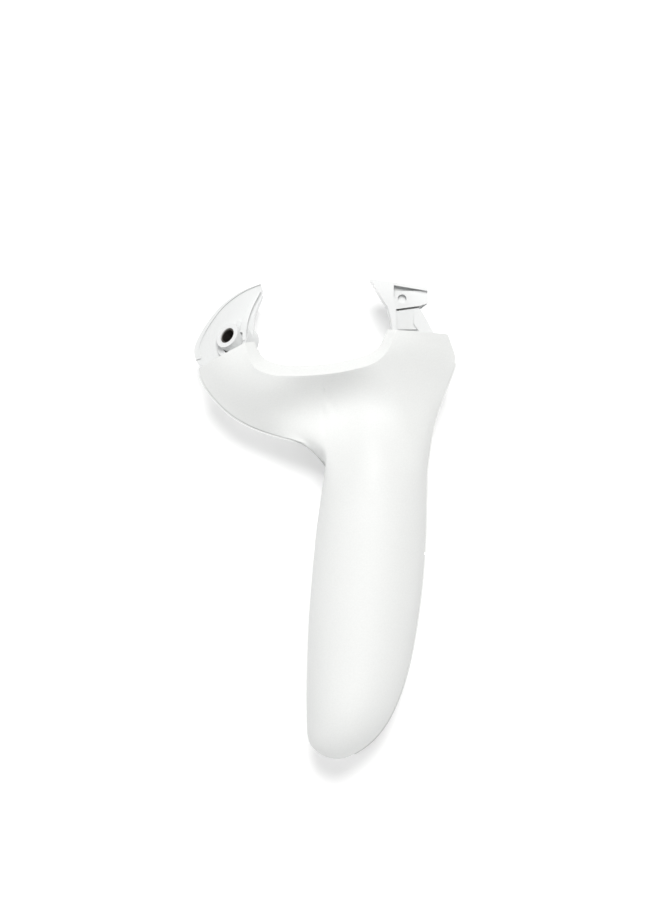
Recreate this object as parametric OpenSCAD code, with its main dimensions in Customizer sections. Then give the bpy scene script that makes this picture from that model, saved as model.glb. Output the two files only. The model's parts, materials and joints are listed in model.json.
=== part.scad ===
// Handle assembly of a hand-held motion controller, lying on its finger side.
// X is across the head, Y runs up the handle to the two ring arms, Z is up
// through the palm side. The origin is under the middle of the whole part.

/* [Handle] */
// Height of the handle's middle line above the table
axis_z = 14.3; // [14:0.1:15]
// Height of the palm side above the middle line, at the neck
palm_rise = 13.8; // [13.4:0.1:14.2]
// Depth of the finger side below the middle line, at the neck
finger_drop = 13.85; // [13.6:0.05:13.9]
// Y of the row where the head blends into the handle
neck_y = 12; // [11:0.5:13]

/* [Shells] */
// Wall thickness of the three moulded shells
wall = 1.8; // [1.4:0.1:2]
// Gap along the parting line between two shells
seam = 0.3; // [0.2:0.05:0.4]
// How far the finger-side shells stand out past the palm shell
proud = 0.45; // [0.2:0.05:0.6]
// Facets across the handle, on each side of the parting line
handle_steps = 24; // [16:2:26]

/* [Battery] */
// Diameter of the AA cell
cell_d = 14.2; // [13.5:0.1:14.5]
// Length of the cell without its button
cell_l = 49.2; // [48.5:0.1:49.5]
// Height of the cell's middle line
cell_z = 12.6; // [12.2:0.1:13]

/* [Ring fastenings] */
// Thread core diameter in the left arm's insert
insert_core_d = 3.2; // [2.5:0.1:3.4]
// Outer diameter of the left arm's insert
insert_d = 4.0; // [3.8:0.1:4.2]
// Outer diameter of the screw boss
boss_d = 6.4; // [6:0.2:6.8]
// Lean of the screw boss away from vertical
boss_lean = 46; // [42:1:52]
// Diameter of the right arm's peg hole
peg_hole_d = 2.1; // [1.8:0.1:2.4]

/* [Grip button] */
// Diameter of the hinge pin
grip_pin_d = 1.6; // [1.4:0.1:1.8]
// Gap around the button in the finger shell
grip_gap = 0.6; // [0.5:0.05:0.7]

/* [Hidden] */
$fn = 48;

paint = [0.90, 0.91, 0.90];
arm_white = [0.94, 0.95, 0.94];
dark_metal = [0.28, 0.27, 0.26];
steel = [0.72, 0.72, 0.70];
board_green = [0.10, 0.30, 0.22];

lean = 5.34;          // lean of the handle's middle line from the Y axis
axis_x = 11.6;        // where that line stands at axis_y
axis_y = 9.5;
end_y = -40;          // the rounded end begins here
end_l = 17.2;         // and runs this far

// Handle rows from the neck to the strap end: y, left edge x, right edge x.
handle_rows = [
  [neck_y, -0.2, 24.5],
  [6, -1.3, 24.4],
  [-4, -2.3, 24.1],
  [-14, -3.2, 23.4],
  [-24, -4.0, 22.2],
  [-34, -4.35, 20.4],
  [-42, -4.55, 18.1],
  [-48, -4.5, 15.4],
  [-52, -4.3, 12.6],
  [-54.6, -3.4, 9.8],
  [-56.4, -1.3, 7.0]
];
door_v = 2.4;         // row number, between two rows, where the door begins
last_v = len(handle_rows) - 1;
valley = 8.5;         // pull of the hollow between the crease and the handle
end_bow = 0.8;        // the last row bows out this far

left_seam = 200;      // section angle of the left parting line, right is 0
// Head ribs from the left corner round the opening to the right corner:
// [point on the opening's edge, point on the crease, point on the outer rim].
ribs = [
  [[-16.6, 42.3, 22.6], [-18.9, 42.0, 24.4], [-30.4, 36.2, 17.3]],
  [[-15.7, 39.9, 23.1], [-18.3, 39.2, 25.2], [-28.9, 31.9, 17.0]],
  [[-13.8, 38.0, 23.6], [-16.6, 35.9, 26.0], [-23.8, 26.0, 16.6]],
  [[-10.6, 36.9, 24.0], [-12.7, 34.3, 26.6], [-17.9, 22.3, 16.0]],
  [[-7.4, 36.6, 24.3], [-9.2, 34.0, 26.9], [-11.4, 20.0, 15.2]],
  [[-4.4, 36.6, 24.4], [-5.6, 34.0, 27.1], [-4.6, 17.9, 13.6]],
  [[-1.6, 36.8, 24.5], [-2.2, 34.2, 27.2], [-0.2, neck_y, 9.6]],
  [[2.4, 37.3, 24.6], [2.4, 34.7, 27.3], [3.0, neck_y, 24]],
  [[6.6, 38.2, 24.7], [6.6, 35.5, 27.4], [12.0, neck_y, 28]],
  [[10.2, 39.3, 24.7], [10.6, 36.6, 27.3], [20.0, neck_y, 24]],
  [[12.6, 41.0, 24.7], [13.4, 38.4, 27.1], [24.5, neck_y, 14.3]],
  [[13.4, 42.2, 24.6], [14.8, 40.1, 26.8], [26.3, 23.4, 14.9]],
  [[13.9, 43.2, 24.5], [15.5, 41.8, 26.5], [29.0, 31.2, 15.6]],
  [[14.3, 44.0, 24.4], [16.1, 43.1, 26.2], [31.3, 37.6, 16.3]],
  [[14.5, 44.6, 24.4], [16.5, 44.2, 26.0], [30.6, 41.2, 16.7]],
  [[14.6, 45.1, 24.3], [16.8, 44.9, 25.8], [29.4, 44.4, 17.2]]
];
neck_rib = 6;         // first rib that runs on down the handle
side_rib = 10;        // last rib that does
last_rib = len(ribs) - 1;
wing_steps = 16;      // facets from the left corner to the neck
side_steps = 14;      // facets from the neck to the right corner
band_steps = 2;       // facets across the chamfer round the opening
rib_steps = 12;       // facets from the crease to the rim

function mix(a, b, f) = a + (b - a) * f;
function unit(a) = a / norm(a);
function flat(list) = [for (part = list) each part];
function limit(x, a, b) = min(max(x, a), b);
function ease(x) = x * x * (3 - 2 * x);

// A smooth curve through a list of rows, at position u
function hermite(p0, p1, p2, p3, f) =
  0.5 * (2 * p1 + (p2 - p0) * f + (2 * p0 - 5 * p1 + 4 * p2 - p3) * f * f
    + (3 * p1 - p0 - 3 * p2 + p3) * f * f * f);
function spline(rows, u) =
  let (n = len(rows) - 1, i = limit(floor(u), 0, n - 1))
  hermite(rows[max(i - 1, 0)], rows[i], rows[i + 1], rows[min(i + 2, n)], u - i);
function bezier(a, b, c, d, t) =
  a * pow(1 - t, 3) + b * 3 * t * pow(1 - t, 2) + c * 3 * t * t * (1 - t) + d * pow(t, 3);

// Half depth of the handle at y, for a depth at the neck
function half_depth(depth, y) =
  y > end_y
  ? mix(depth - 0.9, depth, (y - end_y) / (neck_y - end_y))
  : (depth - 0.9) * sqrt(1 - pow((end_y - y) / end_l, 2));

// A point of the handle's skin: section angle, row number
function handle_point(a, v) =
  let (r = spline(handle_rows, v), half = (r[2] - r[1]) / 2, mid = (r[2] + r[1]) / 2)
  [mid + half * cos(a),
   r[0] - end_bow * pow(sin(a), 2) * pow(v / last_v, 12),
   axis_z + half_depth(sin(a) > 0 ? palm_rise : finger_drop, r[0]) * sin(a)];
function handle_normal(a, v) =
  let (w = min(v, last_v - 0.01))
  unit(cross(handle_point(a + 1, w) - handle_point(a - 1, w),
             handle_point(a, w + 0.005) - handle_point(a, w - 0.005)));
function handle_skin(a, v, off) = handle_point(a, v) + off * handle_normal(a, v);

// Section angle of column k of a side: the palm runs over the top, the
// finger side runs underneath, both from left to right
seam_angle = 57.3 * seam / 12.6;
function palm_angle(k) = mix(left_seam, 0, k / handle_steps);
function finger_angle(k) = mix(left_seam + seam_angle, 360 - seam_angle, k / handle_steps);

// Rib number of a head column, and the section angle where it meets the neck
columns = wing_steps + handle_steps + side_steps;
// first and last are the ribs that the shell ends on
palm_ends = [0, last_rib];
finger_ends = [0.5, last_rib - 2];
function rib_at(j, ends) =
  j < wing_steps ? mix(ends[0], neck_rib, j / wing_steps)
  : j <= wing_steps + handle_steps ? mix(neck_rib, side_rib, (j - wing_steps) / handle_steps)
  : mix(side_rib, ends[1], (j - wing_steps - handle_steps) / side_steps);
function on_neck(j) = j >= wing_steps && j <= wing_steps + handle_steps;

// How far a column belongs to the handle: 0 at the corners, 1 at the neck
function neck_share(q) =
  q < neck_rib ? ease(limit(1 - (neck_rib - q) / 2.6, 0, 1))
  : q > side_rib ? ease(limit(1 - (q - side_rib) / 3, 0, 1)) : 1;

// The parting line round the head, running on down the handle at both ends
rim_left = [
  for (i = [0 : neck_rib - 1]) ribs[i][2],
  handle_point(left_seam, 0),
  handle_point(left_seam, 0.5)
];
rim_right = [
  handle_point(0, 0.5),
  handle_point(0, 0),
  for (i = [side_rib + 1 : last_rib]) ribs[i][2]
];
function rim_line(q) =
  q <= neck_rib ? spline(rim_left, q) : spline(rim_right, q - side_rib + 1);

// The same line on the finger side, a seam lower and standing proud. The
// seam opens a little at the notch, where the line turns down.
notch_gap = 1.1;
function rim_below(q) =
  let (r = spline(ribs, q), rim = rim_line(q),
       out = unit([rim[0] - r[1][0], rim[1] - r[1][1], 0]))
  rim + proud * out - [0, 0, seam + notch_gap * pow(sin(180 * limit((q - 4.3) / 1.7, 0, 1)), 2)];
function finger_rim(q) =
  q <= neck_rib
  ? rim_below(q) + ease(limit(q - neck_rib + 1, 0, 1))
    * (handle_skin(finger_angle(0), 0, proud) - rim_below(neck_rib))
  : rim_below(q) + ease(limit(side_rib + 1 - q, 0, 1))
    * (handle_skin(finger_angle(handle_steps), 0, proud) - rim_below(side_rib));

// The palm side of the head at column j; t runs from the crease to the rim
function palm_head(j, t) =
  let (
    q = rib_at(j, palm_ends), r = spline(ribs, q),
    neck_k = limit(j - wing_steps, 0, handle_steps),
    angle = palm_angle(neck_k),
    rim = on_neck(j) ? handle_point(angle, 0) : rim_line(q),
    along = 2.6 * (handle_point(angle, 0) - handle_point(angle, 0.4)),
    over = 0.42 * [r[1][0] - rim[0], r[1][1] - rim[1], 0] + [0, 0, 5.6],
    share = neck_share(q),
    sag = mix(1.4, valley, on_neck(j) ? max(sin(angle), 0) : 0),
    p1 = mix(r[1], rim, 0.34),
    start = [p1[0], p1[1], r[1][2] - sag]
  )
  t < 0 ? mix(r[1], r[0], -t) : bezier(r[1], start, rim + mix(over, along, share), rim, t);

// The finger side of the head: a shallow tray with rounded sides
finger_edge_z = 7.5;   // lower edge of the opening
finger_floor_z = 4.6;  // flat of the tray
function finger_head(j, t) =
  let (
    q = rib_at(j, finger_ends), r = spline(ribs, q),
    neck_k = limit(j - wing_steps, 0, handle_steps),
    angle = finger_angle(neck_k),
    rim = on_neck(j) ? handle_skin(angle, 0, proud) : finger_rim(q),
    along = 2.6 * (handle_point(angle, 0) - handle_point(angle, 0.4)),
    over = 0.3 * [r[1][0] - rim[0], r[1][1] - rim[1], 0] - [0, 0, 7],
    share = neck_share(q),
    crease = [r[1][0], r[1][1], finger_floor_z],
    p1 = mix(crease, rim, 0.4),
    start = [p1[0], p1[1], finger_floor_z - 0.4]
  )
  t < 0 ? mix(crease, [r[0][0], r[0][1], finger_edge_z], -t)
  : bezier(crease, start, rim + mix(over, along, share), rim, t);

// Rows of one head column, from the opening's edge to the rim
head_ts = [
  for (i = [band_steps : -1 : 1]) -i / band_steps,
  for (i = [0 : rib_steps]) i / rib_steps
];
head_rows = len(head_ts);

// The outer grid of a head with a handle: short columns on the wings, long
// ones down the handle. side 0 is the palm side, 1 the finger side.
neck_row = head_rows - 1;
right_neck = wing_steps + handle_steps;
function column(side, j, vs) = concat(
  [for (t = head_ts) side == 0 ? palm_head(j, t) : finger_head(j, t)],
  !on_neck(j) ? [] :
  [for (v = vs) side == 0
    ? handle_point(palm_angle(j - wing_steps), v)
    : handle_skin(finger_angle(j - wing_steps), v, proud)]
);
// The same grid moved in by the wall thickness
function grid_normal(grid, j, i) =
  let (
    a = grid[max(j - 1, 0)], b = grid[min(j + 1, columns)], c = grid[j],
    last = min(len(c), head_rows) - 1
  )
  unit(cross(c[min(i + 1, last)] - c[max(i - 1, 0)], b[i] - a[i]));
function inner_column(grid, side, j, vs) = [
  for (i = [0 : len(grid[j]) - 1])
    i < neck_row || !on_neck(j)
    ? let (
        p = grid[j][i] - (side == 0 ? wall : -wall) * grid_normal(grid, j, i),
        rim_z = grid[j][neck_row][2] + (on_neck(j) ? (side == 0 ? 0.5 : -0.5) : 0)
      )
      j > wing_steps + 2 && j < right_neck - 2 ? p
      : [p[0], p[1], side == 0 ? max(p[2], rim_z) : min(p[2], rim_z)]
    : let (v = i == neck_row ? 0 : vs[i - head_rows])
      side == 0 ? handle_skin(palm_angle(j - wing_steps), v, -wall)
      : handle_skin(finger_angle(j - wing_steps), v, proud - wall)
];

// Two triangles for each four-cornered face, turned over where asked
function triangles(quads, turned) = [
  for (f = quads, half = [[f[0], f[1], f[2]], [f[0], f[2], f[3]]])
    turned ? [half[2], half[1], half[0]] : half
];
// The strips that join the outer and the inner border of a loop of cells
function strip(loop) = [
  for (b = [0 : len(loop) - 1])
    let (p = loop[b], q = loop[(b + 1) % len(loop)])
    [p[1], q[1], q[0], p[0]]
];
function loop_run(cells, index, size) = [for (c = cells) [index(c), index(c) + size]];

// A head with its part of the handle, as one closed shell. window is a block
// of handle cells left open: [first column, last column, first row, last row].
module head_shell(side, vs, window) {
  outer = [for (j = [0 : columns]) column(side, j, vs)];
  inner = [for (j = [0 : columns]) inner_column(outer, side, j, vs)];
  rows = head_rows + len(vs);
  size = len(flat(outer));
  index = function (c) c[1] + (
    c[0] <= wing_steps ? c[0] * head_rows
    : c[0] <= right_neck ? wing_steps * head_rows + (c[0] - wing_steps) * rows
    : wing_steps * head_rows + (handle_steps + 1) * rows + (c[0] - right_neck - 1) * head_rows);
  cells = [
    for (j = [0 : columns - 1], i = [0 : rows - 2])
      if (i < neck_row || (j >= wing_steps && j < right_neck))
        if (!(j >= window[0] && j < window[1] && i >= window[2] && i < window[3])) [j, i]
  ];
  corners = function (c, move)
    [for (d = [[0, 0], [1, 0], [1, 1], [0, 1]]) index(c + d) + move];
  border = concat(
    [for (j = [0 : columns]) [j, 0]],
    [for (i = [1 : neck_row]) [columns, i]],
    [for (j = [columns - 1 : -1 : right_neck]) [j, neck_row]],
    [for (i = [head_rows : rows - 1]) [right_neck, i]],
    [for (j = [right_neck - 1 : -1 : wing_steps]) [j, rows - 1]],
    [for (i = [rows - 2 : -1 : neck_row]) [wing_steps, i]],
    [for (j = [wing_steps - 1 : -1 : 0]) [j, neck_row]],
    [for (i = [neck_row - 1 : -1 : 1]) [0, i]]
  );
  opening = concat(
    [for (i = [window[2] : window[3] - 1]) [window[0], i]],
    [for (j = [window[0] : window[1] - 1]) [j, window[3]]],
    [for (i = [window[3] : -1 : window[2] + 1]) [window[1], i]],
    [for (j = [window[1] : -1 : window[0] + 1]) [j, window[2]]]
  );
  quads = concat(
    [for (c = cells) corners(c, 0)],
    [for (c = cells) let (q = corners(c, size)) [q[3], q[2], q[1], q[0]]],
    strip(loop_run(border, index, size)),
    window[1] > window[0] ? strip(loop_run(opening, index, size)) : []
  );
  polyhedron(concat(flat(outer), flat(inner)), triangles(quads, side == 1));
}

// A patch of the handle between two angles and two rows, as a closed plate
module handle_patch(a0, a1, v0, v1, a_steps, v_steps, top, bottom) {
  function grid(off) = flat([
    for (k = [0 : a_steps])
      [for (i = [0 : v_steps]) handle_skin(mix(a0, a1, k / a_steps), mix(v0, v1, i / v_steps), off)]
  ]);
  row = v_steps + 1;
  size = (a_steps + 1) * row;
  index = function (c) c[0] * row + c[1];
  cells = [for (k = [0 : a_steps - 1], i = [0 : v_steps - 1]) [k, i]];
  corners = function (c, move)
    [for (d = [[0, 0], [1, 0], [1, 1], [0, 1]]) index(c + d) + move];
  border = concat(
    [for (k = [0 : a_steps]) [k, 0]],
    [for (i = [1 : v_steps]) [a_steps, i]],
    [for (k = [a_steps - 1 : -1 : 0]) [k, v_steps]],
    [for (i = [v_steps - 1 : -1 : 1]) [0, i]]
  );
  quads = concat(
    [for (c = cells) corners(c, 0)],
    [for (c = cells) let (q = corners(c, size)) [q[3], q[2], q[1], q[0]]],
    strip(loop_run(border, index, size))
  );
  polyhedron(concat(grid(top), grid(bottom)), triangles(quads, true));
}

// Rows of the palm shell down the handle, closer together at the strap end
palm_vs = [
  for (i = [1 : 14]) i * 0.45,
  for (i = [1 : 14]) 6.3 + (last_v - 6.3) * i / 14
];
finger_vs = [for (i = [1 : 12]) door_v * i / 12];
window_at = [wing_steps + 1, wing_steps + 8, neck_row + 2, neck_row + 9];
no_window = [0, 0, 0, 0];

module palm_shell() {
  color(paint)
    head_shell(0, palm_vs, no_window);
}

module finger_shell() {
  color(paint)
    head_shell(1, finger_vs, window_at);
}

door_gap_v = 0.06;
module battery_door() {
  color(paint)
    handle_patch(
      finger_angle(0), finger_angle(handle_steps), door_v + door_gap_v, last_v,
      handle_steps, 24, proud, proud - wall);
}

// The edge of the opening, moved outward by a share of the chamfer's width
function opening_edge(q, share) =
  let (r = spline(ribs, q), p = mix(r[0], r[1], share))
  [p[0], p[1]];
function opening_run(q0, q1, share, steps) =
  [for (i = [0 : steps]) opening_edge(mix(q0, q1, i / steps), share)];
function back(list) = [for (i = [len(list) - 1 : -1 : 0]) list[i]];

frame_z = 9.3;        // underside of the collar frame
frame_plate = 1.2;    // thickness of its plate
frame_top = 21.4;       // top of its wall
post_h = 1.9;         // posts on the plate, under the arms' tabs
tab_z = frame_z + frame_plate + post_h + 0.1;
tab_t = 1.4;
arm_posts = [[-20.4, 35.4], [-14.4, 31.2], [17.8, 33.8], [20.3, 36.9]];
insert_hole_d = 3.0;
post_d = 4.2;

function plate_edge(q) =
  let (r = spline(ribs, q), p = mix(r[1], r[2], 0.24))
  [p[0], p[1]];

// The wall round the opening, the plate behind it and the four posts
module collar_frame() {
  color(arm_white)
    difference() {
      union() {
        translate([0, 0, frame_z])
          linear_extrude(frame_top - frame_z)
            polygon(concat(opening_run(1.5, 13.4, 0.3, 44), back(opening_run(1.5, 13.4, 0.82, 44))));
        translate([0, 0, frame_z])
          linear_extrude(frame_plate)
            polygon(concat(
              opening_run(1.3, 11.4, 0.5, 30),
              [for (i = [30 : -1 : 0]) plate_edge(mix(1.3, 11.4, i / 30))]));
        for (p = arm_posts)
          translate([p[0], p[1], frame_z])
            cylinder(h = frame_plate + post_h, d = post_d);
      }
      for (p = arm_posts)
        translate([p[0], p[1], frame_z - 1])
          cylinder(h = frame_plate + post_h + 2, d = insert_hole_d);
    }
}

module screw_inserts() {
  color([0.80, 0.62, 0.30])
    for (p = arm_posts)
      translate([p[0], p[1], frame_z + 0.1])
        difference() {
          cylinder(h = frame_plate + post_h - 0.2, d = insert_hole_d);
          translate([0, 0, -1])
            cylinder(h = 6, d = 2);
        }
}

module shell_screws() {
  color(steel)
    for (p = arm_posts)
      translate([p[0], p[1], tab_z + tab_t])
        difference() {
          union() {
            cylinder(h = 1.3, d = 3.8);
            translate([0, 0, -4.2])
              cylinder(h = 4.3, d = 1.94);
          }
          for (turn = [0, 90])
            rotate([0, 0, turn])
              translate([-1.1, -0.25, 0.6])
                cube([2.2, 0.5, 1]);
        }
}

// Left arm: a crescent between an outer and an inner edge, from its tip down
left_outer_edge = [[-15.5, 56.6], [-20.4, 54.7], [-25.0, 51.4], [-28.4, 47.3],
                   [-30.8, 43.2], [-31.6, 40.2], [-30.4, 37.2], [-27.6, 37.0]];
left_inner_edge = [[-15.0, 55.0], [-16.1, 52.9], [-17.1, 50.9], [-17.9, 48.9],
                   [-18.5, 46.7], [-18.8, 44.2], [-18.9, 42.2], [-19.0, 40.4]];
left_lower_edge = [[-14.8, 54.2], [-15.6, 52.2], [-16.3, 50.5], [-16.8, 48.7],
                   [-17.1, 46.6], [-17.2, 44.2], [-17.2, 42.4], [-17.1, 41.2]];
function left_at(u, share) =
  mix(spline(left_outer_edge, u * 7), spline(left_inner_edge, u * 7), share);
module left_band(share_a, share_b, u0, u1) {
  steps = 20;
  polygon(concat(
    [for (i = [0 : steps]) left_at(mix(u0, u1, i / steps), share_a)],
    [for (i = [steps : -1 : 0]) left_at(mix(u0, u1, i / steps), share_b)]));
}
// Everything under the arm's tilted floor, raised by up
module under_floor(up) {
  translate([-18.8, 44, 16.4 + up])
    rotate([0, 0, 145])
      rotate([0, 13, 0])
        translate([-40, -40, -40])
          cube([80, 80, 40]);
}
arm_bottom = 9.6;
boss_at = [-23.4, 44.0, 18.6];
boss_l = 6.6;
boss_turn = 145;      // direction that the boss leans to
ledge_z = 18.6;
pit_z = 13;
module on_boss() {
  translate(boss_at)
    rotate([0, 0, boss_turn])
      rotate([0, boss_lean, 0])
        children();
}

module left_arm_body() {
  intersection() {
    translate([0, 0, arm_bottom])
      linear_extrude(12)
        left_band(0, 1, 0, 1);
    under_floor(0);
  }
  // raised lip along the outside
  intersection() {
    translate([0, 0, arm_bottom])
      linear_extrude(12)
        left_band(0, 0.1, 0, 0.8);
    under_floor(0.4);
  }
  // wall along the ring's seat, and the lower ledge beside it
  translate([0, 0, arm_bottom])
    linear_extrude(20.2 - arm_bottom)
      left_band(0.88, 1, 0.02, 0.8);
  translate([0, 0, arm_bottom])
    linear_extrude(ledge_z - arm_bottom)
      polygon(concat(
        [for (i = [0 : 20]) left_at(mix(0.05, 0.86, i / 20), 0.93)],
        [for (i = [20 : -1 : 1]) spline(left_lower_edge, i * 0.3)]));
  // wide collar round the boss's foot
  on_boss()
    translate([0, 0, -boss_l + 0.4])
      cylinder(h = boss_l - 2.4, d = boss_d + 3.2);
  // tab that the screws hold
  translate([0, 0, tab_z])
    linear_extrude(tab_t)
      polygon([[-25.4, 38.6], [-23.4, 34.4], [-19.2, 32.0], [-15.6, 28.8], [-12.4, 29.6],
               [-13.0, 32.6], [-18.4, 35.4], [-20.0, 38.6], [-20.6, 42.0]]);
}
module left_arm() {
  color(arm_white)
    difference() {
      union() {
        difference() {
          left_arm_body();
          // pit between the boss and the skin
          translate([0, 0, pit_z])
            linear_extrude(12)
              polygon([[-25.2, 41.9], [-23.8, 39.9], [-19.7, 41.2], [-19.7, 44.6], [-21.4, 44.9]]);
        }
        on_boss()
          translate([0, 0, -boss_l])
            cylinder(h = boss_l, d = boss_d);
      }
      on_boss()
        translate([0, 0, -6])
          cylinder(h = 8, d = insert_d);
      for (i = [0, 1])
        translate([arm_posts[i][0], arm_posts[i][1], tab_z - 1])
          cylinder(h = 4, d = 2.4);
    }
}

module left_arm_insert() {
  color(dark_metal)
    on_boss()
      difference() {
        translate([0, 0, -6])
          cylinder(h = 5.7, d = insert_d);
        translate([0, 0, -5])
          cylinder(h = 8, d = insert_core_d);
      }
}

// Right arm: a bracket with a peg plate, a lower panel and a slanted bar
right_outline = [[10.8, 57.4], [24.4, 55.5], [24.7, 51.9], [22.6, 50.4], [27.0, 43.0],
                 [27.0, 40.8], [16.3, 44.6], [16.1, 45.4], [15.7, 48.2], [14.9, 50.7], [13.2, 53.4]];
plate_z = arm_bottom + 8.2;
peg_hole_l = 1.4;
module right_arm() {
  color(arm_white)
    difference() {
      union() {
        translate([0, 0, arm_bottom])
          linear_extrude(4.4)
            polygon(right_outline);
        // tip, with the flange along the opening
        translate([0, 0, arm_bottom])
          linear_extrude(10)
            polygon([[10.8, 57.4], [16.4, 56.62], [16.3, 53.6], [16.9, 50.2], [17.1, 44.4],
                     [16.2, 44.6], [16.1, 45.4], [15.7, 48.2], [14.9, 50.7], [13.2, 53.4]]);
        // top edge
        translate([0, 0, arm_bottom])
          linear_extrude(9.4)
            polygon([[16.2, 56.65], [24.4, 55.5], [24.5, 54.6], [22.6, 54.9], [16.2, 56.0]]);
        // floor of the pocket behind the peg plate
        translate([0, 0, arm_bottom])
          linear_extrude(7.3)
            polygon([[14, 56.8], [24.2, 55.4], [24.5, 52.1], [22.6, 50.8], [17, 50.2], [15.2, 51.6]]);
        // peg plate
        translate([0, 0, arm_bottom])
          linear_extrude(8.2)
            polygon([[17.0, 54.6], [24.5, 54.8], [24.7, 51.9], [22.6, 51.1], [16.8, 50.3], [16.2, 52.4]]);
        // lower panel
        translate([0, 0, arm_bottom])
          linear_extrude(7.4)
            polygon([[16.6, 50.6], [22.4, 51.2], [22.4, 44.4], [16.6, 44.5]]);
        // slanted bar
        translate([0, 0, arm_bottom])
          linear_extrude(7.8)
            polygon([[21.2, 50.2], [22.7, 50.5], [27.0, 43.0], [27.0, 41.6], [24.2, 42.4], [21.2, 46.8]]);
        translate([0, 0, tab_z])
          linear_extrude(tab_t)
            polygon([[17.0, 44.8], [24.4, 42.4], [24.4, 36.4], [22.0, 33.6], [18.0, 31.0], [15.4, 33.6]]);
      }
      // peg hole
      translate([18.4, 52.8, plate_z - peg_hole_l])
        cylinder(h = 3, d = peg_hole_d);
      // gap beside the bar
      translate([0, 0, arm_bottom - 1])
        linear_extrude(12)
          polygon([[22.9, 50.7], [25.6, 51.4], [25.6, 47.0]]);
      // groove under the peg plate and slit along the lower panel's foot
      translate([0, 0, 16.2])
        linear_extrude(12)
          polygon([[17.1, 50.34], [22.5, 51.06], [22.5, 50.66], [17.1, 49.94]]);
      translate([0, 0, 16.3])
        linear_extrude(12)
          polygon([[17.5, 45.5], [22, 45.5], [22, 45.12], [17.5, 45.12]]);
      for (i = [2, 3])
        translate([arm_posts[i][0], arm_posts[i][1], tab_z - 1])
          cylinder(h = 4, d = 2.4);
    }
}

// The handle's own frame: y down its middle line is negative
module in_handle() {
  translate([axis_x, axis_y, 0])
    rotate([0, 0, -lean])
      children();
}
module along_y(y, z) {
  translate([0, y, z])
    rotate([90, 0, 0])
      children();
}
cell_top = -6.6;      // flat of the cell's positive end, in the handle's frame
tray_r = cell_d / 2 + 0.25;
tray_wall = 0.95;
tray_top = -3.6;
tray_end = -51;
strap_y = -52.3;
strap_posts = [0.6, 6.0];

module battery_tray() {
  color([0.85, 0.86, 0.85])
    difference() {
      union() {
        in_handle()
          difference() {
            along_y(tray_top, cell_z)
              cylinder(h = tray_top - tray_end, r = tray_r + tray_wall);
            along_y(tray_top - 1.2, cell_z)
              cylinder(h = 60, r = tray_r);
            translate([-20, -80, -20])
              cube([40, 100, 20 + cell_z]);
          }
        in_handle()
          translate([-3.4, -60.4, cell_z + tray_r + 0.1])
            cube([5, 11, tray_wall - 0.2]);
        translate([1.4, -50.9, 9.4])
          cube([7, 1, cell_z + tray_r + tray_wall - 9.5]);
        for (x = strap_posts)
          translate([x, -53.4, 13.1])
            cube([1.3, 3, 2.4]);
        translate([strap_posts[0], -50.9, 13.1])
          cube([7.1, 1, 2.4]);
      }
      translate([-2, strap_y, axis_z])
        rotate([0, 90, 0])
          cylinder(h = 14, d = 1.4);
    }
}

module strap_bar() {
  color(steel)
    translate([strap_posts[0] - 0.1, strap_y, axis_z])
      rotate([0, 90, 0])
        cylinder(h = 6.9, d = 1.4);
}

module battery_cell() {
  color(steel)
    in_handle() {
      along_y(cell_top, cell_z)
        cylinder(h = cell_l, d = cell_d - 0.5);
      along_y(cell_top + 1.2, cell_z)
        cylinder(h = 1.3, d = 5.4);
    }
}

module battery_jacket() {
  color([0.16, 0.17, 0.19])
    in_handle()
      along_y(cell_top - 0.5, cell_z)
        difference() {
          cylinder(h = cell_l - 1, d = cell_d);
          translate([0, 0, -1])
            cylinder(h = cell_l + 2, d = cell_d - 0.5);
        }
}

// A wire wound along a path given by angle: closed tube of round rings
module coil(r0, r1, rise, turns, wire, per_turn) {
  sides = 8;
  rings = turns * per_turn;
  points = [
    for (i = [0 : rings], s = [0 : sides - 1])
      let (
        a = 360 * i / per_turn, f = i / rings,
        r = mix(r0, r1, f) + wire / 2 * cos(360 * s / sides)
      )
      [r * cos(a), r * sin(a), rise * f + wire / 2 * sin(360 * s / sides)]
  ];
  walls = [
    for (i = [0 : rings - 1], s = [0 : sides - 1])
      let (t = (s + 1) % sides, b = i * sides)
      [b + s, b + sides + s, b + sides + t, b + t]
  ];
  ends = [
    [for (s = [0 : sides - 1]) s],
    [for (s = [sides - 1 : -1 : 0]) rings * sides + s]
  ];
  polyhedron(points, concat(triangles(walls, true), [for (e = ends) back(e)]));
}

module negative_spring() {
  color(steel)
    in_handle()
      along_y(cell_top - cell_l - 0.5, cell_z)
        coil(2.4, 3.6, 2.6, 4, 0.5, 16);
}

module positive_contact() {
  color(steel)
    in_handle()
      along_y(tray_top - 1.3, cell_z)
        difference() {
          cylinder(h = 0.4, d = 9);
          translate([-6, -6, -1])
            cube([12, 6, 3]);
        }
}

module door_foam() {
  color([0.2, 0.2, 0.2])
    in_handle()
      translate([-3.4, -40, 3.7])
        cube([6.8, 20, 1.4]);
}

// The grip button's frame: z points out of the handle at the button's middle
grip_a = (finger_angle(1) + finger_angle(8)) / 2;
grip_y = -5.4;
grip_pin_y = 5.3;
grip_pin_z = 9.1;
module in_grip() {
  in_handle()
    translate([0, grip_y, axis_z])
      rotate([0, 90 - grip_a, 0])
        children();
}
grip_gap_a = 57.3 * grip_gap / 13.2;
grip_gap_v = grip_gap / 8;

module grip_button() {
  color([0.80, 0.81, 0.81])
    handle_patch(
      finger_angle(1) + grip_gap_a, finger_angle(8) - grip_gap_a,
      finger_vs[1] + grip_gap_v, finger_vs[8] - grip_gap_v,
      12, 12, proud + 0.5, -0.9);
}

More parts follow.
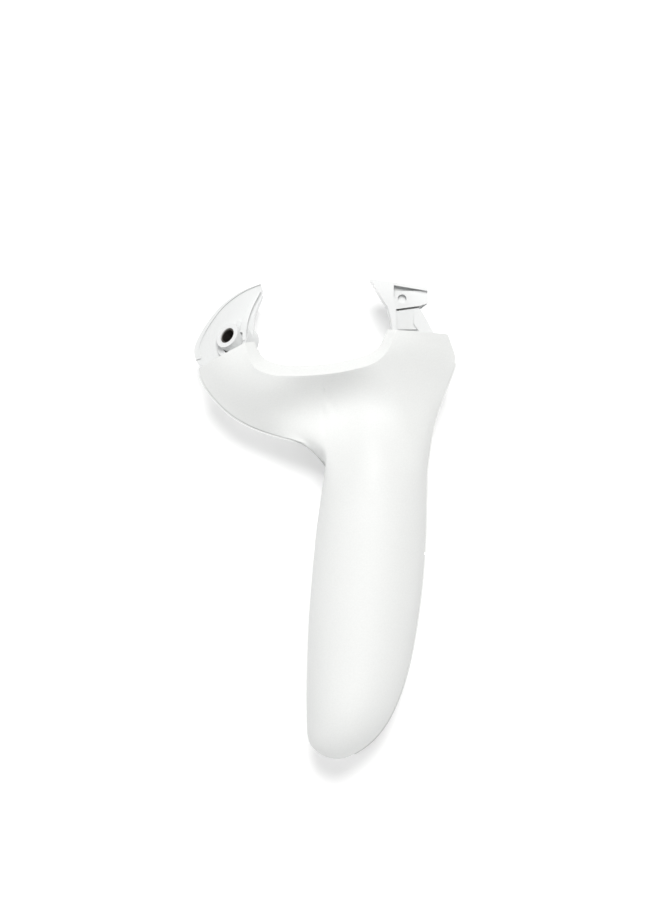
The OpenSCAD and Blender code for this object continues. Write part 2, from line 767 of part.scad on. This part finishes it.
module grip_lever() {
  color([0.3, 0.3, 0.31])
    in_grip()
      difference() {
        union() {
          translate([-3.4, -4.6, 9.7])
            cube([6.8, 10.2, 1]);
          for (x = [-3.4, 1.6])
            translate([x, grip_pin_y, grip_pin_z])
              rotate([0, 90, 0])
                cylinder(h = 1.8, d = grip_pin_d + 1.5);
        }
        translate([-6, grip_pin_y, grip_pin_z])
          rotate([0, 90, 0])
            cylinder(h = 12, d = grip_pin_d + 0.1);
        translate([0, -2.6, 9])
          cylinder(h = 3, d = 3);
      }
}

module grip_magnet() {
  color(steel)
    in_grip()
      translate([0, -2.6, 9.7])
        cylinder(h = 1, d = 3);
}

module grip_pin() {
  color(steel)
    in_grip()
      translate([-4.4, grip_pin_y, grip_pin_z])
        rotate([0, 90, 0])
          cylinder(h = 8.8, d = grip_pin_d);
}

module grip_spring() {
  color(steel)
    in_grip()
      translate([0, 2.0, 6.3])
        coil(1.3, 1.3, 2.6, 4, 0.35, 14);
}

board_z = 11.8;
board_t = 1;
module main_board() {
  color(board_green)
    translate([0, 0, board_z])
      linear_extrude(board_t)
        difference() {
          polygon([[-8, 30.4], [-9, 25.4], [-2, 22], [4, 18.6], [18, 17.6], [19.4, 20], [19, 29.6], [11, 32], [2, 31]]);
          translate([-5.6, 27.6])
            circle(d = 2.2);
          translate([17, 20.4])
            circle(d = 2.2);
        }
}

module motion_sensor() {
  color([0.12, 0.12, 0.13])
    translate([5.4, 26.6, board_z + board_t])
      cube([3, 2.5, 0.9]);
}

module radio_shield() {
  color(steel)
    translate([-3.6, 24.2, board_z + board_t])
      difference() {
        cube([7.4, 5.4, 1.5]);
        translate([0.2, 0.2, -0.1])
          cube([7, 5, 1.4]);
      }
}

module flex_connector() {
  color([0.9, 0.88, 0.8])
    translate([9.6, 19, board_z + board_t])
      cube([6, 1.6, 1]);
}

// Flat cable from the board, up over the battery tray and down the handle
module flex_cable() {
  color([0.75, 0.45, 0.12])
    in_handle()
      translate([-1.8, 0, 0])
        rotate([90, 0, 90])
          linear_extrude(4.4)
            polygon([[9.2, 13.0], [5.4, 13.0], [2.4, 21.9], [-30, 21.9],
                     [-30, 22.2], [2.6, 22.2], [5.6, 13.3], [9.2, 13.3]]);
}

module hall_sensor() {
  color([0.12, 0.12, 0.13])
    in_grip()
      translate([3.5, -0.8, 8.5])
        cube([1.6, 2.4, 0.7]);
}

module vibration_motor() {
  color(steel)
    translate([14.6, 25.4, 13.8])
      difference() {
        cylinder(h = 3.4, d = 10);
        translate([0, 0, 3.1])
          cylinder(h = 1, d = 6);
      }
}

module motor_foam() {
  color([0.2, 0.2, 0.2])
    translate([14.6, 25.4, board_z + board_t + 0.05])
      cylinder(h = 0.9, d = 9.4);
}

palm_shell();
finger_shell();
battery_door();
collar_frame();
left_arm();
left_arm_insert();
right_arm();
battery_tray();
battery_cell();
battery_jacket();
negative_spring();
positive_contact();
door_foam();
strap_bar();
grip_button();
grip_lever();
grip_pin();
grip_magnet();
grip_spring();
main_board();
motion_sensor();
radio_shield();
hall_sensor();
flex_connector();
flex_cable();
vibration_motor();
motor_foam();
shell_screws();
screw_inserts();
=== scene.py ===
import bpy
import bmesh
import json
import math
from mathutils import Matrix, Vector


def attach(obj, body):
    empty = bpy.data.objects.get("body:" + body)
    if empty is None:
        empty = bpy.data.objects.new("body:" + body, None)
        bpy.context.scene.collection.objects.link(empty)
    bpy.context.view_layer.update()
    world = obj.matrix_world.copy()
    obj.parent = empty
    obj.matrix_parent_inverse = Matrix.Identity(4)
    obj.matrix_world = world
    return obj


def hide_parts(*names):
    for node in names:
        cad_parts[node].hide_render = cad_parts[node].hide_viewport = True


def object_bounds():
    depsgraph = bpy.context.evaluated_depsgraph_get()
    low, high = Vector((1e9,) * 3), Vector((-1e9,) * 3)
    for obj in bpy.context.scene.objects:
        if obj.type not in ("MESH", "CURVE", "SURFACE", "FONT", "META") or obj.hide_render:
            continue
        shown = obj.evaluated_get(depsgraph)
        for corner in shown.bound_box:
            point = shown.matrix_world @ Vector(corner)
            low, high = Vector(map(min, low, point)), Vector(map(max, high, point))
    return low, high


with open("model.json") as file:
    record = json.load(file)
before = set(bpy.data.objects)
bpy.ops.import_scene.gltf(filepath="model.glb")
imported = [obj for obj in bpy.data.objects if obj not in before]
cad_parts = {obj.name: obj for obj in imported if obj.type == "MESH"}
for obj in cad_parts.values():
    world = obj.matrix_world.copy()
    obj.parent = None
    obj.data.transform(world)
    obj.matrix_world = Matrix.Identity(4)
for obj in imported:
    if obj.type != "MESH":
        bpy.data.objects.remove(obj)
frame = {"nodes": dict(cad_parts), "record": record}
cadLow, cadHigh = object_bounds()
middle = (cadLow + cadHigh) / 2
mm = 0.001
print("frame loaded:", len(frame["nodes"]), "nodes")


room = {
    "floorWidth": 4.0,
    "floorColour": (0.97, 0.97, 0.97, 1),
    "floorGlow": 0.16,
    "skyColour": (1.0, 1.0, 1.0, 1),
    "skyStrength": 0.32,
}
# place from the object's middle, width, watts, colour
lamps = {
    "topSoftbox": ((0.03, 0.36, 0.76), 0.34, 5.55, (1.0, 0.995, 0.985)),
    "sideFill": ((-0.75, 0.25, 0.45), 0.50, 1.2, (0.985, 0.99, 1.0)),
    "endFill": ((0.10, -0.34, 0.24), 0.18, 0.42, (1.0, 1.0, 1.0)),
}
cameraSet = {"height": 0.50, "lens": 83.0, "aside": (1.1 * mm, 16.7 * mm)}


def makeRoom():
    scene = bpy.context.scene
    scene.view_settings.view_transform = "Standard"
    world = bpy.data.worlds.new("softRoom")
    world.use_nodes = True
    sky = world.node_tree.nodes["Background"]
    sky.inputs["Color"].default_value = room["skyColour"]
    sky.inputs["Strength"].default_value = room["skyStrength"]
    scene.world = world

    bpy.ops.mesh.primitive_plane_add(size=room["floorWidth"], location=(middle.x, middle.y, cadLow.z))
    floor = bpy.context.object
    floor.name = "paleFloor"
    paper = bpy.data.materials.new("whiteSweep")
    paper.use_nodes = True
    shader = paper.node_tree.nodes["Principled BSDF"]
    shader.inputs["Base Color"].default_value = room["floorColour"]
    shader.inputs["Roughness"].default_value = 0.9
    shader.inputs["Specular IOR Level"].default_value = 0.1
    shader.inputs["Emission Color"].default_value = (1, 1, 1, 1)
    shader.inputs["Emission Strength"].default_value = room["floorGlow"]
    floor.data.materials.append(paper)

    for name, (place, width, watts, colour) in lamps.items():
        spot = middle + Vector(place)
        bpy.ops.object.light_add(type="AREA", location=spot)
        lamp = bpy.context.object
        lamp.name = name
        lamp.data.shape = "DISK"
        lamp.data.size = width
        lamp.data.energy = watts
        lamp.data.color = colour
        lamp.rotation_euler = (middle - spot).to_track_quat("-Z", "Y").to_euler()

    x, y = cameraSet["aside"]
    bpy.ops.object.camera_add(location=(middle.x + x, middle.y + y, middle.z + cameraSet["height"]))
    camera = bpy.context.object
    camera.name = "topCamera"
    camera.data.lens = cameraSet["lens"]
    camera.data.clip_start = 0.01
    scene.camera = camera
    print("room made: floor,", len(lamps), "lamps and camera")


makeRoom()


asNumber, asColour = "NodeSocketFloat", "NodeSocketColor"


def newGroup(name, inputs, outputs):
    # one node group with its named sockets: (name, kind, value)
    group = bpy.data.node_groups.new(name, "ShaderNodeTree")
    for label, kind, value in inputs:
        socket = group.interface.new_socket(name=label, in_out="INPUT", socket_type=kind)
        socket.default_value = value
    for label, kind in outputs:
        group.interface.new_socket(name=label, in_out="OUTPUT", socket_type=kind)
    return group, group.nodes.new("NodeGroupInput"), group.nodes.new("NodeGroupOutput")


def addNode(tree, kind, **settings):
    node = tree.nodes.new(kind)
    for key, value in settings.items():
        setattr(node, key, value)
    return node


def mapRange(tree, value, low, high, toLow, toHigh):
    node = addNode(tree, "ShaderNodeMapRange")
    node.inputs["From Min"].default_value = low
    node.inputs["From Max"].default_value = high
    tree.links.new(value, node.inputs["Value"])
    for label, aim in (("To Min", toLow), ("To Max", toHigh)):
        if isinstance(aim, (int, float)):
            node.inputs[label].default_value = aim
        else:
            tree.links.new(aim, node.inputs[label])
    return node.outputs["Result"]


def sums(tree, kind, a, b):
    node = addNode(tree, "ShaderNodeMath", operation=kind)
    for slot, value in zip(node.inputs, (a, b)):
        if isinstance(value, (int, float)):
            slot.default_value = value
        else:
            tree.links.new(value, slot)
    return node.outputs["Value"]


def mixColour(tree, factor, a, b):
    node = addNode(tree, "ShaderNodeMix", data_type="RGBA")
    for label, value in (("Factor", factor), ("A", a), ("B", b)):
        slots = [s for s in node.inputs if s.name == label and s.enabled]
        if isinstance(value, (int, float, tuple)):
            slots[0].default_value = value
        else:
            tree.links.new(value, slots[0])
    return [s for s in node.outputs if s.enabled][0]


def makeGrain():
    # moulded or sprayed surface: grain height, colour with drift, and roughness
    tree, start, end = newGroup(
        "surfaceGrain",
        [("Colour", asColour, (0.8, 0.8, 0.8, 1)), ("Second Colour", asColour, (0.7, 0.7, 0.7, 1)),
         ("Grain Scale", asNumber, 3000.0), ("Grain Share", asNumber, 0.2),
         ("Drift Scale", asNumber, 40.0), ("Drift Share", asNumber, 0.3),
         ("Roughness", asNumber, 0.5), ("Roughness Spread", asNumber, 0.1)],
        [("Colour", asColour), ("Roughness", asNumber), ("Height", asNumber)])
    place = addNode(tree, "ShaderNodeTexCoord").outputs["Object"]
    grain = addNode(tree, "ShaderNodeTexNoise")
    grain.inputs["Detail"].default_value = 3.0
    grain.inputs["Roughness"].default_value = 0.65
    tree.links.new(place, grain.inputs["Vector"])
    tree.links.new(start.outputs["Grain Scale"], grain.inputs["Scale"])
    drift = addNode(tree, "ShaderNodeTexNoise")
    drift.inputs["Detail"].default_value = 4.0
    tree.links.new(place, drift.inputs["Vector"])
    tree.links.new(start.outputs["Drift Scale"], drift.inputs["Scale"])
    grainLevel = mapRange(tree, grain.outputs["Fac"], 0.3, 0.7, 0.0, 1.0)
    driftLevel = mapRange(tree, drift.outputs["Fac"], 0.3, 0.7, 0.0, 1.0)
    share = sums(tree, "ADD", sums(tree, "MULTIPLY", grainLevel, start.outputs["Grain Share"]),
                 sums(tree, "MULTIPLY", driftLevel, start.outputs["Drift Share"]))
    colour = mixColour(tree, share, start.outputs["Colour"], start.outputs["Second Colour"])
    rough = start.outputs["Roughness"]
    for level in (driftLevel, grainLevel):
        swing = sums(tree, "MULTIPLY", sums(tree, "SUBTRACT", level, 0.5), start.outputs["Roughness Spread"])
        rough = sums(tree, "ADD", rough, swing)
    tree.links.new(colour, end.inputs["Colour"])
    tree.links.new(rough, end.inputs["Roughness"])
    tree.links.new(grain.outputs["Fac"], end.inputs["Height"])
    return tree


def makeScuffs():
    # short fine scratches: a mask that a material lightens or roughens by
    tree, start, end = newGroup(
        "fineScuffs",
        [("Scale", asNumber, 300.0), ("Amount", asNumber, 0.5), ("Stretch", asNumber, 12.0)],
        [("Mask", asNumber)])
    place = addNode(tree, "ShaderNodeTexCoord").outputs["Object"]
    split = addNode(tree, "ShaderNodeSeparateXYZ")
    tree.links.new(place, split.inputs[0])
    join = addNode(tree, "ShaderNodeCombineXYZ")
    tree.links.new(sums(tree, "MULTIPLY", split.outputs["X"], start.outputs["Stretch"]), join.inputs["X"])
    tree.links.new(split.outputs["Y"], join.inputs["Y"])
    tree.links.new(sums(tree, "MULTIPLY", split.outputs["Z"], start.outputs["Stretch"]), join.inputs["Z"])
    streak = addNode(tree, "ShaderNodeTexNoise")
    streak.inputs["Detail"].default_value = 2.0
    tree.links.new(join.outputs["Vector"], streak.inputs["Vector"])
    tree.links.new(start.outputs["Scale"], streak.inputs["Scale"])
    streakLevel = mapRange(tree, streak.outputs["Fac"], 0.52, 0.75, 0.0, 1.0)
    mask = sums(tree, "MULTIPLY", streakLevel, start.outputs["Amount"])
    tree.links.new(mask, end.inputs["Mask"])
    return tree


grainGroup = makeGrain()
scuffGroup = makeScuffs()

# each finish: two colours, scales and shares of the grain and of the slow drift,
# roughness and its spread, bump depth in mm, scuffs, then values set on the shader
finishes = {
    "paintedSkin": dict(colour=(0.80, 0.81, 0.80), second=(0.70, 0.71, 0.705), grain=2600,
        grainShare=0.34, drift=55, driftShare=0.10, rough=0.62, spread=0.12, bump=0.030, scuff=0.0,
        specular=0.35),
    "framePlastic": dict(colour=(0.72, 0.73, 0.73), second=(0.62, 0.63, 0.64), grain=1800,
        grainShare=0.25, drift=60, driftShare=0.25, rough=0.5, spread=0.12, bump=0.012, scuff=0.1,
        specular=0.4),
    "armPlastic": dict(colour=(0.735, 0.745, 0.745), second=(0.69, 0.70, 0.70), grain=3200,
        grainShare=0.14, drift=45, driftShare=0.20, rough=0.30, spread=0.08, bump=0.006, scuff=0.10,
        specular=0.5),
    "darkMetal": dict(colour=(0.075, 0.068, 0.062), second=(0.16, 0.145, 0.13), grain=2200,
        grainShare=0.3, drift=300, driftShare=0.4, rough=0.42, spread=0.2, bump=0.01, scuff=0.4,
        metal=0.85, specular=0.5),
    "platedSteel": dict(colour=(0.62, 0.61, 0.59), second=(0.47, 0.46, 0.45), grain=1500,
        grainShare=0.2, drift=120, driftShare=0.4, rough=0.28, spread=0.14, bump=0.005, scuff=0.5,
        metal=1.0, specular=0.5),
    "cellJacket": dict(colour=(0.035, 0.04, 0.05), second=(0.06, 0.066, 0.08), grain=900,
        grainShare=0.1, drift=70, driftShare=0.3, rough=0.25, spread=0.08, bump=0.004, scuff=0.25,
        specular=0.5),
    "softFoam": dict(colour=(0.035, 0.035, 0.036), second=(0.008, 0.008, 0.008), grain=2200,
        grainShare=0.7, drift=200, driftShare=0.2, rough=0.95, spread=0.05, bump=0.10, scuff=0.0,
        specular=0.2),
    "buttonPlastic": dict(colour=(0.72, 0.73, 0.735), second=(0.64, 0.65, 0.655), grain=2400,
        grainShare=0.25, drift=60, driftShare=0.2, rough=0.42, spread=0.1, bump=0.012, scuff=0.15,
        specular=0.45),
    "leverPlastic": dict(colour=(0.07, 0.07, 0.072), second=(0.11, 0.11, 0.112), grain=1500,
        grainShare=0.3, drift=90, driftShare=0.3, rough=0.5, spread=0.12, bump=0.012, scuff=0.2,
        specular=0.45),
    "boardMask": dict(colour=(0.012, 0.10, 0.055), second=(0.02, 0.16, 0.085), grain=1200,
        grainShare=0.2, drift=260, driftShare=0.5, rough=0.3, spread=0.12, bump=0.008, scuff=0.1,
        specular=0.5),
    "chipPackage": dict(colour=(0.02, 0.02, 0.022), second=(0.045, 0.045, 0.047), grain=3000,
        grainShare=0.4, drift=300, driftShare=0.3, rough=0.55, spread=0.12, bump=0.01, scuff=0.1,
        specular=0.4),
    "connectorPlastic": dict(colour=(0.72, 0.66, 0.50), second=(0.62, 0.56, 0.42), grain=2000,
        grainShare=0.3, drift=200, driftShare=0.3, rough=0.45, spread=0.1, bump=0.008, scuff=0.1,
        specular=0.4),
    "flexFilm": dict(colour=(0.38, 0.16, 0.025), second=(0.26, 0.10, 0.015), grain=1500, grainShare=0.3,
        drift=500, driftShare=0.5, rough=0.28, spread=0.1, bump=0.006, scuff=0.2, specular=0.5),
    "insertBrass": dict(colour=(0.68, 0.47, 0.18), second=(0.50, 0.33, 0.12), grain=1500,
        grainShare=0.3, drift=300, driftShare=0.4, rough=0.32, spread=0.15, bump=0.008, scuff=0.4,
        metal=1.0, specular=0.5),
}


grainInputs = {"Grain Scale": "grain", "Grain Share": "grainShare", "Drift Scale": "drift",
               "Drift Share": "driftShare", "Roughness": "rough", "Roughness Spread": "spread"}
scuffLook = {"rough": 0.3, "cover": 0.5, "gain": 1.25, "lift": 0.02}


def makeFinish(name, f):
    material = bpy.data.materials.new(name)
    material.use_nodes = True
    tree = material.node_tree
    shader = tree.nodes["Principled BSDF"]
    grain = addNode(tree, "ShaderNodeGroup", node_tree=grainGroup)
    grain.inputs["Colour"].default_value = (*f["colour"], 1)
    grain.inputs["Second Colour"].default_value = (*f["second"], 1)
    for label, key in grainInputs.items():
        grain.inputs[label].default_value = f[key]
    colour, rough = grain.outputs["Colour"], grain.outputs["Roughness"]
    if f["scuff"]:
        scuffs = addNode(tree, "ShaderNodeGroup", node_tree=scuffGroup)
        scuffs.inputs["Amount"].default_value = f["scuff"]
        mask = scuffs.outputs["Mask"]
        rough = sums(tree, "ADD", rough, sums(tree, "MULTIPLY", mask, scuffLook["rough"]))
        light = tuple(min(1.0, c * scuffLook["gain"] + scuffLook["lift"]) for c in f["colour"])
        colour = mixColour(tree, sums(tree, "MULTIPLY", mask, scuffLook["cover"]), colour, (*light, 1))
    bump = addNode(tree, "ShaderNodeBump")
    bump.inputs["Distance"].default_value = f["bump"] * mm
    bump.inputs["Strength"].default_value = 1.0
    tree.links.new(grain.outputs["Height"], bump.inputs["Height"])
    tree.links.new(colour, shader.inputs["Base Color"])
    tree.links.new(rough, shader.inputs["Roughness"])
    tree.links.new(bump.outputs["Normal"], shader.inputs["Normal"])
    shader.inputs["Metallic"].default_value = f.get("metal", 0.0)
    shader.inputs["Specular IOR Level"].default_value = f["specular"]
    return material


materials = {name: makeFinish(name, f) for name, f in finishes.items()}
print("finishes made:", len(materials))

slotFinish = {
    "painted_skin": "paintedSkin", "frame_plastic": "framePlastic", "arm_plastic": "armPlastic",
    "dark_metal": "darkMetal", "plated_steel": "platedSteel", "cell_jacket": "cellJacket", "foam": "softFoam",
    "button_plastic": "buttonPlastic", "lever_plastic": "leverPlastic", "board": "boardMask",
    "chip": "chipPackage", "connector_plastic": "connectorPlastic", "flex": "flexFilm", "brass": "insertBrass",
}
nodeSlot = {part["node"]: part["material_slot"] for part in frame["record"]["subparts"]}
for nodeName, cadNode in frame["nodes"].items():
    cadNode.data.materials.clear()
    cadNode.data.materials.append(materials[slotFinish[nodeSlot[nodeName]]])


def onlyThis(piece):
    if bpy.context.object and bpy.context.object.mode != "OBJECT":
        bpy.ops.object.mode_set(mode="OBJECT")
    bpy.ops.object.select_all(action="DESELECT")
    piece.select_set(True)
    bpy.context.view_layer.objects.active = piece


def applyModifier(piece, kind, **settings):
    onlyThis(piece)
    modifier = piece.modifiers.new(kind.lower(), kind)
    for key, value in settings.items():
        setattr(modifier, key, value)
    bpy.ops.object.modifier_apply(modifier=modifier.name)


def copyOfNode(nodeName, pieceName):
    # a free copy of a CAD node's mesh, its loose triangles merged into faces
    source = frame["nodes"][nodeName]
    piece = source.copy()
    piece.data = source.data.copy()
    piece.name = pieceName
    piece.data.name = pieceName
    piece.parent = None
    piece.matrix_world = Matrix.Identity(4)
    bpy.context.collection.objects.link(piece)
    onlyThis(piece)
    if piece.data.has_custom_normals:
        bpy.ops.mesh.customdata_custom_splitnormals_clear()
    bpy.ops.object.mode_set(mode="EDIT")
    bpy.ops.mesh.select_all(action="SELECT")
    bpy.ops.mesh.remove_doubles(threshold=0.002 * mm)
    bpy.ops.object.mode_set(mode="OBJECT")
    return piece


def finishPiece(piece, nodeName, body):
    slotName = nodeSlot[nodeName]
    piece.data.materials.clear()
    piece.data.materials.append(materials[slotFinish[slotName]])
    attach(piece, body)
    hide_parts(nodeName)


# crease is the share of sharpness kept on the edges, fair the passes of smoothing
# over the head, fairFrom where the head begins in y, seamFacing the way the seam looks
shells = {
    "palmSkin": dict(node="palm_shell", body="handle", crease=0.93, fair=8, fairFrom=-1.0, seamFacing=-1),
    "fingerSkin": dict(node="finger_shell", body="handle", crease=0.82, fair=3, fairFrom=1.0, seamFacing=1),
    "batteryDoorSkin": dict(node="battery_door", body="battery_door", crease=0.82, fair=0),
    "gripButtonSkin": dict(node="grip_button", body="grip_button", crease=0.6, fair=0),
}
# subdivision levels, and in degrees: triangles joined to quads, head corners held,
# edges creased, shading kept sharp
shellSet = {"levels": 2, "joinTurn": 50, "joinSkew": 60, "corner": 50, "crease": 32, "smooth": 40}

# places on the palm side whose slopes are evened out: middle, reach in x and
# y, width of the averaging, and how much of it is taken
slopes = [
    {"x": 0.8, "y": 19.5, "wide": 10.0, "long": 13.0, "spread": 3.8, "share": 1.0},
    {"x": 19.5, "y": 24.0, "wide": 9.0, "long": 17.0, "spread": 3.4, "share": 0.8},
]
# reach of the averaging in spreads, how firmly it holds inside a place, and how
# far the shell's inside is drawn away there, so that it stays under the skin
slopeSet = {"reach": 3, "firm": 1.6, "innerDrop": 1.6, "innerBelow": -0.2}
# the dip between the opening's crease and the handle's bulge
headHollow = {"x": 3.0, "y": 27.5, "wide": 17.0, "long": 9.5, "depth": 3.6}

# the rim rises round the notch, on both shells alike: nothing at the foot, all of
# it from full to fade, nothing again at the top
notchLift = {"x": -4.5, "y": 18.5, "wide": 11.0, "long": 7.5, "rise": 4.4,
             "foot": 4.0, "full": 9.5, "fade": 20.0, "top": 27.0}
# the handle's flank inside the rim, where every vertex may move
flank = {"x": 2.2, "y": 20.5, "wide": 4.4, "long": 11.5}
# the shells meet below this height on faces that look straight down or up
seam = {"top": 15.2, "flat": 0.7}


def awayFrom(place, vertex):
    # 0 in the middle of a place, 1 at its edge
    return math.hypot((vertex.co.x / mm - place["x"]) / place["wide"],
                      (vertex.co.y / mm - place["y"]) / place["long"])


def share01(value, low, high):
    part = min(1.0, max(0.0, (value - low) / (high - low)))
    return part * part * (3 - 2 * part)


def liftNotch(vertices):
    n = notchLift
    for vertex in vertices:
        z, away = vertex.co.z / mm, awayFrom(n, vertex)
        if away < 1:
            up = share01(z, n["foot"], n["full"]) * (1 - share01(z, n["fade"], n["top"]))
            vertex.co.z += n["rise"] * mm * up * (1 - away * away) ** 2


def isCorner(edge, turn):
    return len(edge.link_faces) != 2 or (edge.is_convex and edge.calc_face_angle() > turn)


def onSeam(vertex, facing):
    facesSeam = any(f.normal.z * facing > seam["flat"] for f in vertex.link_faces)
    return facesSeam and vertex.co.z < seam["top"] * mm


def outsideOf(mesh, turn):
    # all that is reached from the highest vertex without crossing a sharp edge
    highest = max(mesh.verts, key=lambda v: v.co.z)
    found, todo = {highest}, [highest]
    while todo:
        vertex = todo.pop()
        for link in vertex.link_edges:
            other = link.other_vert(vertex)
            if other not in found and not isCorner(link, turn):
                found.add(other)
                todo.append(other)
    return found


def easeSlopes(free):
    # each height inside a place moves towards the average of its surroundings
    area = {v: sum(f.calc_area() * abs(f.normal.z) for f in v.link_faces) / 4 for v in free}
    for place in slopes:
        spread = place["spread"] * mm
        moved = []
        for vertex in free:
            away = awayFrom(place, vertex)
            if away >= 1:
                continue
            total = height = 0.0
            for other in free:
                gap = math.hypot(other.co.x - vertex.co.x, other.co.y - vertex.co.y)
                if gap < slopeSet["reach"] * spread:
                    weight = area[other] * math.exp(-0.5 * (gap / spread) ** 2)
                    total += weight
                    height += weight * other.co.z
            share = place["share"] * min(1.0, slopeSet["firm"] * (1 - away * away))
            moved.append((vertex, vertex.co.z + share * (height / total - vertex.co.z)))
        for vertex, height in moved:
            drop = slopeSet["innerDrop"] * mm if vertex.normal.z < slopeSet["innerBelow"] else 0
            vertex.co.z = height - drop
    for vertex in free:
        away = awayFrom(headHollow, vertex)
        if away < 1:
            vertex.co.z -= headHollow["depth"] * mm * (1 - away * away) ** 2


def fairHead(piece, passes, fromY, seamFacing):
    # evens out the head's outside between its crease, its rim and the handle
    onlyThis(piece)
    bpy.ops.object.mode_set(mode="EDIT")
    mesh = bmesh.from_edit_mesh(piece.data)
    mesh.normal_update()
    corner = math.radians(shellSet["corner"])
    free = [v for v in mesh.verts
            if v.co.y > fromY * mm and not onSeam(v, seamFacing)
            and (awayFrom(flank, v) < 1 or not any(isCorner(e, corner) for e in v.link_edges))]
    liftNotch(mesh.verts)
    if piece.name == "palmSkin":
        outer = outsideOf(mesh, corner)
        easeSlopes([v for v in free if v in outer])
    bpy.ops.mesh.select_all(action="DESELECT")
    for vertex in free:
        vertex.select = True
    mesh.select_flush(True)
    bpy.ops.mesh.vertices_smooth(factor=0.5, repeat=passes)
    faired = {v.index for v in free}
    bpy.ops.object.mode_set(mode="OBJECT")
    return faired


def makeShell(name, s):
    piece = copyOfNode(s["node"], name)
    bpy.ops.object.mode_set(mode="EDIT")
    bpy.ops.mesh.select_all(action="SELECT")
    bpy.ops.mesh.tris_convert_to_quads(face_threshold=math.radians(shellSet["joinTurn"]),
                                       shape_threshold=math.radians(shellSet["joinSkew"]))
    bpy.ops.object.mode_set(mode="OBJECT")
    faired = fairHead(piece, s["fair"], s["fairFrom"], s["seamFacing"]) if s["fair"] else set()
    bpy.ops.object.mode_set(mode="EDIT")
    bpy.ops.mesh.select_mode(type="EDGE")
    bpy.ops.mesh.select_all(action="DESELECT")
    bpy.ops.mesh.edges_select_sharp(sharpness=math.radians(shellSet["crease"]))
    for edge in bmesh.from_edit_mesh(piece.data).edges:
        if edge.select and all(v.index in faired for v in edge.verts):
            edge.select = False
    bpy.ops.transform.edge_crease(value=s["crease"])
    bpy.ops.object.mode_set(mode="OBJECT")
    applyModifier(piece, "SUBSURF", levels=shellSet["levels"], render_levels=shellSet["levels"])
    onlyThis(piece)
    bpy.ops.object.shade_smooth_by_angle(angle=math.radians(shellSet["smooth"]))
    finishPiece(piece, s["node"], s["body"])
    print(name, "made:", len(piece.data.polygons), "faces")
    return piece


for shellName, shell in shells.items():
    makeShell(shellName, shell)


# hard parts with eased edges: width of the easing in mm and its steps
hardParts = {
    "leftArmMoulding": dict(node="left_arm", body="handle", ease=0.10, steps=2),
    "rightArmMoulding": dict(node="right_arm", body="handle", ease=0.10, steps=2),
    "collarFrameMoulding": dict(node="collar_frame", body="handle", ease=0.10, steps=2),
    "gripLeverMoulding": dict(node="grip_lever", body="grip_button", ease=0.08, steps=2),
    "batteryTrayMoulding": dict(node="battery_tray", body="handle", ease=0.08, steps=2),
    "strapBarPin": dict(node="strap_bar", body="handle", ease=0.08, steps=2),
}


# in degrees: faces joined as one flat, edges eased, shading kept sharp
hardSet = {"flat": 1.0, "ease": 50, "smooth": 35}


def makeHardPart(name, s):
    piece = copyOfNode(s["node"], name)
    bpy.ops.object.mode_set(mode="EDIT")
    bpy.ops.mesh.select_all(action="SELECT")
    bpy.ops.mesh.dissolve_limited(angle_limit=math.radians(hardSet["flat"]))
    bpy.ops.object.mode_set(mode="OBJECT")
    applyModifier(piece, "BEVEL", width=s["ease"] * mm, segments=s["steps"], limit_method="ANGLE",
                  angle_limit=math.radians(hardSet["ease"]), use_clamp_overlap=True)
    onlyThis(piece)
    bpy.ops.object.shade_smooth_by_angle(angle=math.radians(hardSet["smooth"]))
    applyModifier(piece, "WEIGHTED_NORMAL", keep_sharp=True)
    finishPiece(piece, s["node"], s["body"])
    print(name, "made:", len(piece.data.polygons), "faces")
    return piece


for partName, partSet in hardParts.items():
    makeHardPart(partName, partSet)


print("all pieces made")
